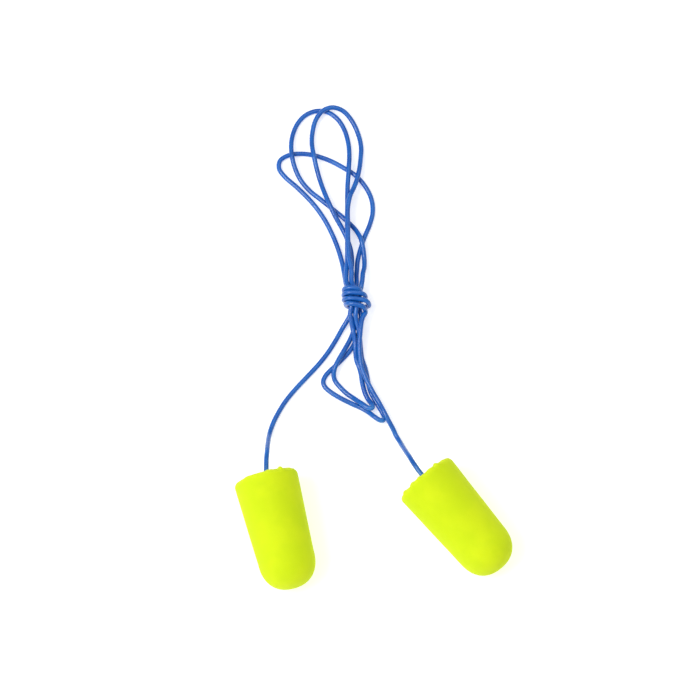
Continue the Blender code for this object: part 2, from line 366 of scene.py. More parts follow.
@dataclass(frozen=True)
class CordFinish:
    """Drawn blue vinyl: smooth, half glossy, with a painted highlight where it is bent hard."""

    body: Colour = (0.003, 0.102, 0.470, 1.0)
    light: Colour = (0.008, 0.148, 0.570, 1.0)
    # Painted highlight: a paler blue that the colour turns to where the cord is bent hard, by the span four
    # lines below.
    painted_bend_highlight: Colour = (0.060, 0.270, 0.710, 1.0)
    lines_per_metre: Point = (9000.0, 9000.0, 220.0)
    tones_per_metre: float = 260.0
    grain_per_metre: float = 5200.0
    painted_bend_highlight_span: Span = (0.18, 0.75, 0.0, 0.75)
    line_height: float = 0.006 * MM
    line_strength: float = 0.35
    grain_height: float = 0.010 * MM
    grain_strength: float = 0.25
    roughness: Span = (0.7, 1.3, 0.18, 0.34)
    scatter: Point = (0.15, 0.4, 1.0)
    scatter_depth: float = 0.25 * MM

    def material(self) -> Material:
        """Build the cord's material.

        Returns:
            The material.
        """
        bench = ShaderBench("blue_vinyl_cord")
        skin = bench.attribute("skin", "Vector")
        bend = bench.attribute("bend", "Fac")
        drawn = bench.add("ShaderNodeMapping")
        bench.fill(drawn, {"Scale": self.lines_per_metre, "Vector": skin})
        lines = bench.noise(drawn.outputs["Vector"], 1.0)
        tone = bench.noise(skin, self.tones_per_metre, detail=3.0)
        grain = bench.noise(skin, self.grain_per_metre)
        colour = bench.blend(bench.ramp(tone, *SPREAD), self.body, self.light)
        relief = bench.bump(lines, self.line_height, self.line_strength)
        return bench.dress(
            # Painted highlight: the colour turns paler where the cord is bent hard.
            Base_Color=bench.blend(bench.ramp(bend, *self.painted_bend_highlight_span), colour, self.painted_bend_highlight),
            Roughness=bench.ramp(bench.maths("ADD", lines, grain), *self.roughness),
            IOR=1.46,
            Subsurface_Weight=0.12,
            Subsurface_Radius=self.scatter,
            Subsurface_Scale=self.scatter_depth,
            Coat_Weight=0.30,
            Coat_Roughness=0.08,
            Normal=bench.bump(grain, self.grain_height, self.grain_strength, relief),
        )


@dataclass(frozen=True)
class AdhesiveFinish:
    """Milky hot-melt adhesive, half clear and slightly rippled."""

    body: Colour = (0.780, 0.760, 0.520, 1.0)
    clear: Colour = (0.860, 0.860, 0.640, 1.0)
    clouds_per_metre: float = 900.0
    ripples_per_metre: float = 2600.0
    ripple_height: float = 0.04 * MM
    ripple_strength: float = 0.5
    roughness: Span = (0.3, 0.7, 0.18, 0.38)
    scatter: Point = (1.0, 0.9, 0.6)
    scatter_depth: float = 0.6 * MM

    def material(self) -> Material:
        """Build the adhesive's material.

        Returns:
            The material.
        """
        bench = ShaderBench("milky_adhesive")
        where = bench.place()
        cloud = bench.noise(where, self.clouds_per_metre, detail=3.0)
        ripple = bench.noise(where, self.ripples_per_metre)
        return bench.dress(
            Base_Color=bench.blend(bench.ramp(cloud, *SPREAD), self.body, self.clear),
            Roughness=bench.ramp(ripple, *self.roughness),
            IOR=1.48,
            Subsurface_Weight=0.45,
            Subsurface_Radius=self.scatter,
            Subsurface_Scale=self.scatter_depth,
            Coat_Weight=0.4,
            Coat_Roughness=0.12,
            Normal=bench.bump(ripple, self.ripple_height, self.ripple_strength),
        )


@dataclass(frozen=True)
class FloorFinish:
    """Matt white lightbox floor."""

    body: Colour = (0.80, 0.80, 0.80, 1.0)
    shade: Colour = (0.77, 0.77, 0.77, 1.0)
    tones_per_metre: float = 4.0
    roughness: Span = (0.3, 0.7, 0.75, 0.85)
    glow_strength: float = 0.52

    def material(self) -> Material:
        """Build the floor's material.

        Returns:
            The material.
        """
        bench = ShaderBench("pale_floor")
        tone = bench.noise(bench.place(), self.tones_per_metre, detail=3.0)
        return bench.dress(
            Base_Color=bench.blend(tone, self.body, self.shade),
            Roughness=bench.ramp(tone, *self.roughness),
            Specular_IOR_Level=0.1,
            Emission_Color=WHITE,
            Emission_Strength=self.glow_strength,
        )


# ------------------------------------------------------- geometry node makers


def link(item: Object) -> Object:
    """Put a new object in the scene, and return it."""
    bpy.context.scene.collection.objects.link(item)
    return item


def spots_of(mesh: Mesh) -> np.ndarray:
    """Read a mesh's points.

    Args:
        mesh: the mesh.

    Returns:
        Its points, one row each.
    """
    spots = np.empty(len(mesh.vertices) * 3)
    mesh.vertices.foreach_get("co", spots)
    return spots.reshape(-1, 3)


def run_tree(item: Object, tree: Tree, values: dict[str, object]) -> None:
    """Run a geometry tree on an object and keep its result as the object's plain mesh.

    Args:
        item: the object whose mesh the tree starts from.
        tree: the geometry tree.
        values: what goes in the tree's named inputs.
    """
    modifier = item.modifiers.new(tree.name, "NODES")
    modifier.node_group = tree
    for socket in tree.interface.items_tree:
        if socket.item_type == "SOCKET" and socket.in_out == "INPUT" and socket.name in values:
            modifier[socket.identifier] = values[socket.name]
    bpy.context.view_layer.update()
    depsgraph = bpy.context.evaluated_depsgraph_get()
    made = bpy.data.meshes.new_from_object(
        item.evaluated_get(depsgraph), preserve_all_data_layers=True, depsgraph=depsgraph
    )
    item.modifiers.remove(modifier)
    made.name = item.name
    item.data = made


def facing_out(mesh: Mesh) -> None:
    """Turn a closed mesh's faces outwards, by the sign of its volume.

    Args:
        mesh: the closed mesh.
    """
    mesh.calc_loop_triangles()
    corners = np.empty(len(mesh.loop_triangles) * 3, dtype=np.int32)
    mesh.loop_triangles.foreach_get("vertices", corners)
    a, b, c = spots_of(mesh)[corners.reshape(-1, 3)].transpose(1, 0, 2)
    if float(np.einsum("ij,ij->i", a, np.cross(b, c)).sum()) < 0.0:
        mesh.flip_normals()


def line_object(name: str, points: np.ndarray, numbers: dict[str, np.ndarray]) -> Object:
    """Make a chain of edges that carries numbers at its points.

    Args:
        name: the object's name.
        points: the chain's points, one row each.
        numbers: named values, one for each point.

    Returns:
        The linked object.
    """
    mesh = bpy.data.meshes.new(name)
    edges = [(i, i + 1) for i in range(len(points) - 1)]
    mesh.from_pydata([tuple(p) for p in points], edges, [])
    for key, values in numbers.items():
        store = mesh.attributes.new(key, "FLOAT", "POINT")
        store.data.foreach_set("value", np.asarray(values, dtype=np.float32))
    return link(bpy.data.objects.new(name, mesh))


class TreeBench(Bench):
    """A geometry tree with named inputs."""

    def __init__(self, name: str, numbers: tuple[str, ...], counts: tuple[str, ...]) -> None:
        """Start a tree, whose last input is the material.

        Args:
            name: the tree's name.
            numbers: names of its inputs that are numbers.
            counts: names of its inputs that are whole numbers.
        """
        super().__init__(bpy.data.node_groups.new(name, "GeometryNodeTree"))
        inputs = {"Geometry": "Geometry", **dict.fromkeys(counts, "Int")}
        inputs |= {**dict.fromkeys(numbers, "Float"), "Finish": "Material"}
        face = self.tree.interface
        for key, kind in inputs.items():
            face.new_socket(key, in_out="INPUT", socket_type=f"NodeSocket{kind}")
        face.new_socket("Geometry", in_out="OUTPUT", socket_type="NodeSocketGeometry")
        self.given = self.add("NodeGroupInput").outputs

    def through(self, kind: str, geometry: Socket, **settings: object) -> Node:
        """Add a node that the geometry passes through.

        Args:
            kind: the node's type name.
            geometry: what goes in its first socket.
            settings: properties to set on it.

        Returns:
            The new node.
        """
        return self.fill(self.add(kind, **settings), {0: geometry})

    def named(self, name: str, kind: str = "FLOAT") -> Socket:
        """Return the named attribute, of this data type."""
        node = self.add("GeometryNodeInputNamedAttribute", data_type=kind)
        return self.fill(node, {"Name": name}).outputs[0]

    def store(self, geometry: Socket, name: str, value: Socket, kind: str = "FLOAT") -> Socket:
        """Store a named attribute at the points.

        Args:
            geometry: the geometry that gets it.
            name: the attribute's name.
            value: what is stored.
            kind: its data type.

        Returns:
            The geometry.
        """
        settings = {"data_type": kind, "domain": "POINT"}
        node = self.through("GeometryNodeStoreNamedAttribute", geometry, **settings)
        return self.fill(node, {"Name": name, "Value": value}).outputs[0]

    def end(self, geometry: Socket) -> Tree:
        """Close the tree with Realize Instances and Set Material.

        Args:
            geometry: the finished geometry.

        Returns:
            The tree.
        """
        smooth = self.through("GeometryNodeSetShadeSmooth", geometry)
        solid = self.through("GeometryNodeRealizeInstances", smooth.outputs[0])
        dressed = self.through("GeometryNodeSetMaterial", solid.outputs[0])
        self.feed(dressed.inputs["Material"], self.given["Finish"])
        self.through("NodeGroupOutput", dressed.outputs[0])
        return self.tree


def cord_tree() -> Tree:
    """Make the tree that draws a round section along a chain of points.

    Returns:
        The tree. It stores skin, the place on the cord's surface with the length along as Z.
    """
    bench = TreeBench("drawn_cord", ("Radius",), ("Sides",))
    chain = bench.through("GeometryNodeMeshToCurve", bench.given["Geometry"])
    normal = bench.through("GeometryNodeSetCurveNormal", chain.outputs[0])
    section = bench.add("GeometryNodeCurvePrimitiveCircle", mode="RADIUS")
    bench.fill(section, {"Resolution": bench.given["Sides"], "Radius": bench.given["Radius"]})
    spot = bench.add("GeometryNodeInputPosition").outputs[0]
    ring = bench.store(section.outputs[0], "ring", spot, "FLOAT_VECTOR")
    tube = bench.through("GeometryNodeCurveToMesh", normal.outputs[0])
    bench.fill(tube, {"Profile Curve": ring, "Fill Caps": True})
    across, up, _ = bench.parts(bench.named("ring", "FLOAT_VECTOR"))
    place = bench.whole(across, up, bench.named("along"))
    return bench.end(bench.store(tube.outputs[0], "skin", place, "FLOAT_VECTOR"))


def turned_tree() -> Tree:
    """Make the tree that turns an outline about the X axis and roughens it.

    The outline carries rim, how far a point belongs to the trimmed edge, and cut, how far
    it belongs to the cut back.

    Returns:
        The tree.
    """
    lumps_per_metre, grain_per_metre, wander_per_metre, nubs_per_metre = 170.0, 1500.0, 420.0, 900.0
    nub_span: Span = (0.60, 0.74, 0.0, 1.0)
    weld = 0.001 * MM
    levels = ("Lumps", "Grain", "Rim wander", "Rim nubs", "Seed")
    bench = TreeBench("turned_skin", levels, ("Rings", "Around"))
    given = bench.given
    grid = bench.add("GeometryNodeMeshGrid")
    bench.fill(grid, {"Size X": 1.0, "Size Y": 1.0})
    bench.fill(grid, {"Vertices X": given["Rings"], "Vertices Y": given["Around"]})
    spot = bench.add("GeometryNodeInputPosition").outputs[0]
    row, turn, _ = bench.parts(spot)
    last = bench.maths("SUBTRACT", given["Rings"], 1.0)
    ring = bench.maths("ROUND", bench.maths("MULTIPLY", bench.maths("ADD", row, 0.5), last))
    angle = bench.maths("MULTIPLY", bench.maths("ADD", turn, 0.5), math.tau)

    def read(kind: str, value: Socket) -> Socket:
        """Read the outline at this point's ring.

        Args:
            kind: the value's data type.
            value: the field that is read.

        Returns:
            The value.
        """
        settings = {"data_type": kind, "domain": "POINT"}
        node = bench.through("GeometryNodeSampleIndex", given["Geometry"], **settings)
        return bench.fill(node, {"Value": value, "Index": ring}).outputs[0]

    def rough(per_metre: float, detail: float, level: str) -> Socket:
        """Make noise about zero.

        Args:
            per_metre: its cells per metre.
            detail: its octaves.
            level: the input that gives its height.

        Returns:
            The height.
        """
        even = bench.maths("SUBTRACT", bench.noise(where, per_metre, detail), 0.5)
        return bench.maths("MULTIPLY", even, given[level])

    geometry = grid.outputs[0]
    for key in ("rim", "cut"):
        geometry = bench.store(geometry, key, read("FLOAT", bench.named(key)))
    along, _, radius = bench.parts(read("FLOAT_VECTOR", spot))
    side = bench.maths("MULTIPLY", radius, bench.maths("SINE", angle))
    top = bench.maths("MULTIPLY", radius, bench.maths("COSINE", angle))
    laid = bench.through("GeometryNodeSetPosition", geometry)
    bench.feed(laid.inputs["Position"], bench.whole(along, side, top))
    closed = bench.through("GeometryNodeMergeByDistance", laid.outputs[0])
    bench.feed(closed.inputs["Distance"], weld)

    away = bench.add("ShaderNodeVectorMath", operation="ADD")
    where = bench.fill(away, {0: spot, 1: bench.whole(*[given["Seed"]] * 3)}).outputs[0]
    height = bench.maths("ADD", rough(lumps_per_metre, 2.0, "Lumps"), rough(grain_per_metre, 3.0, "Grain"))
    nubs = bench.ramp(bench.noise(where, nubs_per_metre, detail=1.0), *nub_span)
    nubs = bench.maths("MULTIPLY", nubs, given["Rim nubs"])
    torn = bench.maths("ADD", rough(wander_per_metre, 2.0, "Rim wander"), nubs)
    back = bench.maths("MULTIPLY", torn, bench.named("rim"))
    outwards = bench.add("ShaderNodeVectorMath", operation="SCALE")
    normal = bench.add("GeometryNodeInputNormal").outputs[0]
    bench.fill(outwards, {0: normal, "Scale": height})
    moved = bench.add("ShaderNodeVectorMath", operation="SUBTRACT")
    bench.fill(moved, {0: outwards.outputs[0], 1: bench.whole(back, 0.0, 0.0)})
    result = bench.through("GeometryNodeSetPosition", closed.outputs[0])
    bench.feed(result.inputs["Offset"], moved.outputs[0])
    return bench.end(result.outputs[0])


# ------------------------------------------------------------------ the plugs


@dataclass(frozen=True)
class PlugForm:
    """Sizes of one foam plug, turned about its axis from its wide back to its domed front."""

    length: float = 23.6 * MM
    back_radius: float = 6.45 * MM
    front_radius: float = 5.7 * MM
    dome_length: float = 6.2 * MM
    dome_fullness: float = 2.3
    rim_rounding: float = 1.2 * MM
    rim_reach: float = 1.3 * MM
    bore_radius: float = 1.4 * MM
    bore_depth: float = 9.0 * MM
    bore_corner: float = 0.2 * MM
    bore_cut: float = 0.3
    mouth_rounding: float = 0.18 * MM
    crown: float = 0.14 * MM
    rim_on_back: float = 0.5
    height_rows: int = 60
    dome_rows: int = 64
    taper_rows: int = 84
    rim_rows: int = 20
    back_rows: int = 34
    mouth_rows: int = 6
    bore_rows: int = 20
    bottom_rows: int = 4

    def slope(self) -> float:
        """Return the half angle of the taper."""
        taper = self.length - self.dome_length - self.rim_rounding
        return math.atan2(self.back_radius - self.front_radius, taper)

    def dome(self, count: int, shift: float = 0.0) -> list[tuple[float, float]]:
        """Lay out the domed front, from where the taper ends to the tip.

        Args:
            count: how many points it has.
            shift: how much longer than its form the plug is.

        Returns:
            Points as (along, radius).
        """
        power = 2.0 / self.dome_fullness
        start = self.length - self.dome_length + shift
        rows = []
        for turn in np.linspace(0.0, math.pi / 2, count):
            rise = math.sin(turn) ** power
            fall = max(0.0, math.cos(turn)) ** power
            rows.append((start + self.dome_length * rise, self.front_radius * fall))
        rows[-1] = (start + self.dome_length, 0.0)
        return rows

    def height(self) -> float:
        """Return how high the back's centre lies when the taper rests on the plane."""
        rise, reach = math.sin(self.slope()), math.cos(self.slope())
        return max(along * rise + radius * reach for along, radius in self.dome(self.height_rows))

    def outline(self, shift: float) -> tuple[np.ndarray, np.ndarray, np.ndarray]:
        """Lay out the half section, from the bottom of the bore to the front.

        Args:
            shift: how much longer than its form the plug is.

        Returns:
            Points as (along, 0, radius), how far each belongs to the rim, and to the cut back.
        """
        slope = self.slope()
        rows: list[tuple[float, float, float, float]] = []
        for radius in np.linspace(0.0, self.bore_radius - self.bore_corner, self.bottom_rows):
            rows.append((self.bore_depth, radius, 0.0, self.bore_cut))
        for along in np.linspace(self.bore_depth - self.bore_corner, self.mouth_rounding, self.bore_rows):
            rows.append((along, self.bore_radius, 0.0, self.bore_cut))
        for turn in np.linspace(0.0, math.pi / 2, self.mouth_rows)[1:]:
            along = self.mouth_rounding * (1.0 - math.sin(turn))
            rows.append((along, self.bore_radius + self.mouth_rounding * (1.0 - math.cos(turn)), 0.0, 1.0))
        flat_from = self.bore_radius + self.mouth_rounding
        flat_to = self.back_radius - self.rim_rounding
        for radius in np.linspace(flat_from, flat_to, self.back_rows)[1:]:
            share = (radius - flat_from) / (flat_to - flat_from)
            rows.append((-self.crown * math.sin(math.pi * share), radius, share**4 * self.rim_on_back, 1.0))
        for turn in np.linspace(0.0, math.pi / 2 - slope, self.rim_rows)[1:]:
            along = self.rim_rounding * (1.0 - math.cos(turn))
            radius = flat_to + self.rim_rounding * math.sin(turn)
            rows.append((along, radius, 1.0, 1.0 - turn / (math.pi / 2)))
        start = np.array(rows[-1][:2])
        end = np.array((self.length - self.dome_length + shift, self.front_radius))
        for share in np.linspace(0.0, 1.0, self.taper_rows)[1:]:
            along, radius = start + (end - start) * share
            rim = max(0.0, 1.0 - (along - start[0]) / self.rim_reach) ** 2
            rows.append((float(along), float(radius), rim, 0.0))
        rows += [(along, radius, 0.0, 0.0) for along, radius in self.dome(self.dome_rows, shift)[1:]]
        table = np.array(rows)
        points = np.stack([table[:, 0], np.zeros(len(table)), table[:, 1]], axis=1)
        return points, table[:, 2], table[:, 3]


@dataclass(frozen=True)
class Tear:
    """One nub or nick where the rim was trimmed, by its angle from the top, in degrees."""

    angle: float
    height: float
    width: float


LEFT_TEARS = (
    Tear(34.0, 0.42 * MM, 3.2), Tear(59.0, 0.16 * MM, 6.0), Tear(-42.0, 0.10 * MM, 6.0),
    Tear(-60.0, -0.22 * MM, 12.0), Tear(8.0, 0.06 * MM, 9.0), Tear(130.0, 0.25 * MM, 5.0),
    Tear(-125.0, 0.22 * MM, 6.0), Tear(172.0, 0.15 * MM, 5.0),
)
RIGHT_TEARS = (
    Tear(27.0, 0.34 * MM, 4.0), Tear(12.0, 0.12 * MM, 5.0), Tear(-19.0, 0.26 * MM, 4.5),
    Tear(-38.0, 0.24 * MM, 5.5), Tear(-52.0, -0.14 * MM, 5.0), Tear(-68.0, 0.20 * MM, 5.0),
    Tear(115.0, 0.22 * MM, 5.0), Tear(-140.0, 0.28 * MM, 6.0),
)


@dataclass(frozen=True)
class Roughness:
    """How rough a turned piece is, and how many faces go round it."""

    around: int
    lumps: float
    grain: float
    wander: float = 0.0
    nubs: float = 0.0


@dataclass(frozen=True)
class FoamPlug:
    """One foam plug where it lies, with the adhesive that holds the cord in its bore."""

    side: Side
    exit_x: float
    exit_y: float
    heading: float
    seed: float
    longer: float
    tears: tuple[Tear, ...]
    form: PlugForm = PlugForm()
    foam: Roughness = Roughness(241, 0.09 * MM, 0.04 * MM, 0.6 * MM, 0.12 * MM)
    adhesive: Roughness = Roughness(65, 0.06 * MM, 0.01 * MM)
    fill: float = 0.95
    glue_from: float = 2.2 * MM
    glue_off_cord: float = 0.01 * MM
    glue_off_foam: float = 0.06 * MM
    glue_off_bottom: float = 0.3 * MM
    glue_corner: float = 0.2 * MM
    glue_chamfer: float = 0.1 * MM
    meniscus: float = 0.4 * MM
    meniscus_rows: int = 14
    wall_rows: int = 16

    def place(self) -> Matrix:
        """Return the frame at the cord's exit, with X along the plug's axis to its front."""
        where = Matrix.Translation((self.exit_x, self.exit_y, self.form.height()))
        return where @ Matrix.Rotation(self.heading, 4, "Z") @ Matrix.Rotation(self.form.slope(), 4, "Y")

    def turned(
        self,
        slot: str,
        outline: tuple[np.ndarray, np.ndarray, np.ndarray],
        rough: Roughness,
        tree: Tree,
        finish: Material,
    ) -> Object:
        """Turn an outline about the plug's axis, put it in place and let it ride on the plug.

        Args:
            slot: the word the piece's name starts with.
            outline: points, rim shares and cut shares.
            rough: how rough it is.
            tree: the turning tree.
            finish: its material.

        Returns:
            The piece.
        """
        points, rim, cut = outline
        item = line_object(f"{slot}_{self.side.value}", points, {"rim": rim, "cut": cut})
        values = {
            "Rings": len(points),
            "Around": rough.around,
            "Lumps": rough.lumps,
            "Grain": rough.grain,
            "Rim wander": rough.wander,
            "Rim nubs": rough.nubs,
            "Seed": self.seed,
            "Finish": finish,
        }
        run_tree(item, tree, values)
        self.tear_rim(item.data)
        item.data.transform(self.place())
        spots = spots_of(item.data)
        spots[:, 2] = np.maximum(spots[:, 2], 0.0)
        item.data.vertices.foreach_set("co", spots.ravel())
        facing_out(item.data)
        item.data.update()
        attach(item, f"{self.side.value}_plug")
        return item

    def tear_rim(self, mesh: Mesh) -> None:
        """Pull the rim's nubs out and press its nicks in.

        Args:
            mesh: the turned mesh, about its own X axis.
        """
        spots = spots_of(mesh)
        share = np.empty(len(spots))
        mesh.attributes["rim"].data.foreach_get("value", share)
        angle = np.degrees(np.arctan2(spots[:, 1], spots[:, 2]))
        for tear in self.tears:
            away = (angle - tear.angle + 180.0) % 360.0 - 180.0
            spots[:, 0] -= tear.height * share * np.exp(-((away / tear.width) ** 2))
        mesh.vertices.foreach_set("co", spots.ravel())

    def build_foam(self, tree: Tree, finish: Material) -> Object:
        """Build the foam body.

        Args:
            tree: the turning tree.
            finish: the foam's material.

        Returns:
            The foam body, riding on its plug.
        """
        item = self.turned("foam", self.form.outline(self.longer), self.foam, tree, finish)
        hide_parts(f"{self.side.value}_plug")
        return item

    def build_adhesive(self, tree: Tree, finish: Material, cord_radius: float) -> Object:
        """Build the adhesive round the cord's glued end.

        Args:
            tree: the turning tree.
            finish: the adhesive's material.
            cord_radius: radius of the cord.

        Returns:
            The adhesive, riding on its plug.
        """
        inner = cord_radius + self.glue_off_cord
        outer = self.form.bore_radius - self.glue_off_foam
        far = self.form.bore_depth - self.glue_off_bottom
        rows = [(far, inner)]
        for along in np.linspace(far - self.glue_corner, self.glue_from, self.wall_rows):
            rows.append((along, inner))
        for share in np.linspace(0.0, 1.0, self.meniscus_rows)[1:]:
            climb = self.meniscus * (1.0 - 4.0 * share * (1.0 - share))
            rows.append((self.glue_from + self.meniscus - climb, inner + (outer - inner) * share))
        for along in np.linspace(self.glue_from + self.glue_corner, far - self.glue_corner, self.wall_rows):
            rows.append((along, outer))
        rows += [(far, outer - self.glue_chamfer), (far, inner)]
        points = np.array([(along, 0.0, radius) for along, radius in rows])
        still = np.zeros(len(points))
        item = self.turned("adhesive", (points, still, still), self.adhesive, tree, finish)
        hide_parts(f"{self.side.value}_adhesive")
        return item


# ------------------------------------------------------------------- the cord


@dataclass(frozen=True)
class Knot:
    """The knot at the hank's waist, in millimetres: where strands pass it, and the turns round them."""

    middle_y: float = 47.8
    face_z: float = 2.15
    half_length: float = 2.6
    straight: float = 0.8
    strand_pitch: float = 1.05
    row_pitch: float = 1.2
    upper_x: float = -4.15
    lower_x: float = -3.3
    waist_z: float = 2.37
    waist_reach: float = 1.3
    turn_height: float = 1.87
    squareness: float = 2.7
    bow: float = 0.28
    steps: int = 4
    right_sides: tuple[tuple[float, float], ...] = (
        (-2.2, 49.95), (-2.2, 48.95), (-1.25, 48.1), (-0.5, 46.35), (-1.2, 44.95),
    )
    left_sides: tuple[tuple[float, float], ...] = (
        (-5.2, 49.45), (-5.65, 48.5), (-5.6, 47.5), (-5.1, 46.55),
    )
    arriving: tuple[Point, ...] = ((-1.9, 51.6, 2.45), (-2.05, 50.8, 2.5))
    leaving: tuple[Point, ...] = ((-1.3, 44.5, 2.75), (-1.75, 43.7, 2.95))

    def strand(self, face: Face, column: int, row: int) -> list[Point]:
        """Place the point where a strand runs straight out of one face.

        Args:
            face: the face it goes through.
            column: -1, 0 or 1, from left to right.
            row: 0 for the lower row, 1 for the upper one.

        Returns:
            The point, alone in a list.
        """
        middle = self.upper_x if face is Face.UPPER else self.lower_x
        y = self.middle_y + face.value * (self.half_length + self.straight)
        return [(middle + column * self.strand_pitch, y, self.face_z + (row - 0.5) * self.row_pitch)]

    def waist(self, slot: Slot, heading: Face) -> list[Point]:
        """Carry a strand through the knot.

        Args:
            slot: its place among the strands.
            heading: the face it comes out of.

        Returns:
            Three points. A cut in the cord falls on the second.
        """
        across, up = slot.value
        lean = (self.upper_x - self.lower_x) / 2 * self.waist_reach / self.half_length
        middle = (self.upper_x + self.lower_x) / 2
        return [
            (middle + way * lean + across, self.middle_y + way * self.waist_reach, self.waist_z + up)
            for way in (-heading.value, 0, heading.value)
        ]

    def arch(self, start: tuple[float, float], end: tuple[float, float], way: int) -> list[Point]:
        """Carry the cord over or under the strands, from one side of the knot to the other.

        Args:
            start: x and y at the side it leaves.
            end: x and y at the side it comes to.
            way: 1 over the strands, -1 under them.

        Returns:
            Its points, without the last one.
        """
        points = []
        for step in range(self.steps):
            angle = math.pi * step / self.steps
            reach = math.copysign(abs(math.cos(angle)) ** (2 / self.squareness), math.cos(angle))
            lift = abs(math.sin(angle)) ** (2 / self.squareness)
            x = start[0] + (end[0] - start[0]) * (1.0 - reach) / 2.0
            y = start[1] + (end[1] - start[1]) * step / self.steps + max(way, 0) * self.bow * lift
            points.append((x, y, self.waist_z + way * lift * self.turn_height))
        return points

    def turns(self) -> list[Point]:
        """Return the points of the turns, from the right side down and round, towards the plugs."""
        points = list(self.arriving)
        for right, left, after in zip(self.right_sides, self.left_sides, self.right_sides[1:]):
            points += self.arch(right, left, -1) + self.arch(left, after, 1)
        return [*points, (*self.right_sides[-1], self.waist_z), *self.leaving]


@dataclass(frozen=True)
class CordRun:
    """One length of the cord between two cuts, and the bodies it belongs to."""

    name: str
    replaces: tuple[str, ...]
    bodies: tuple[str, ...]
    joint: str | None = None
    reach: tuple[float, float] = (0.0, 0.0)
    exit_at_end: bool = False


RUNS = (
    CordRun(
        "cord_left_end", ("left_cord_end", "left_lead"), ("left_plug", "left_lead"),
        "left_plug_swing", (-0.5 * MM, 3.0 * MM),
    ),
    CordRun(
        "cord_wide_loop", ("upper_loop_wide",), ("hank", "left_lead"),
        "left_lead_swing", (-0.4 * MM, 3.4 * MM), exit_at_end=True,
    ),
    CordRun("cord_middle", ("lower_loop_outer", "upper_loop_right", "lower_loop_inner"), ("hank",)),
    CordRun(
        "cord_knot_turns", ("upper_loop_left", "hank_knot"), ("hank", "right_lead"),
        "right_lead_swing", (-0.2 * MM, 3.4 * MM),
    ),
    CordRun(
        "cord_right_end", ("right_lead", "right_cord_end"), ("right_plug", "right_lead"),
        "right_plug_swing", (-0.5 * MM, 3.0 * MM),
    ),
)


